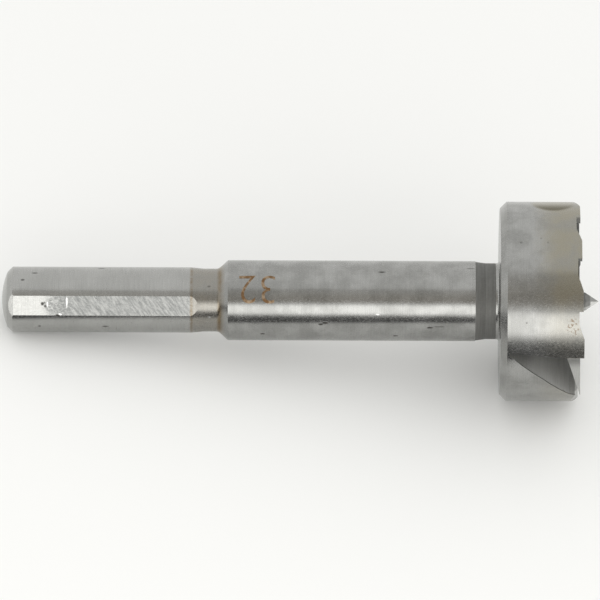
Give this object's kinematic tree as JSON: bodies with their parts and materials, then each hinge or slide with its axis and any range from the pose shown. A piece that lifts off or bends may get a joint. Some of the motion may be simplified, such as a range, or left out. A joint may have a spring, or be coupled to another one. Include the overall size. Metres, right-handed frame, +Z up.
{
  "type": "forstner bit",
  "caption": "Steel Forstner bit lying at rest: round shank with jaw flats, stepped body, short cylindrical head with a wave-cut scoring rim, lifters with chip throats and a centre point.",
  "frame": {"origin": "middle of the footprint's bounding box, on the bench the bit lies on", "axes": "+X along the bit towards the centre point, which is raised a little because the head is wider than the shank; +Z up; one jaw flat of the shank faces down"},
  "size_m": [0.095, 0.032, 0.0332],
  "materials": {
    "steel": "ground and turned tool steel with light oil stains"
  },
  "bodies": {
    "root": {"forstner_bit": "steel"}
  },
  "joints": []
}
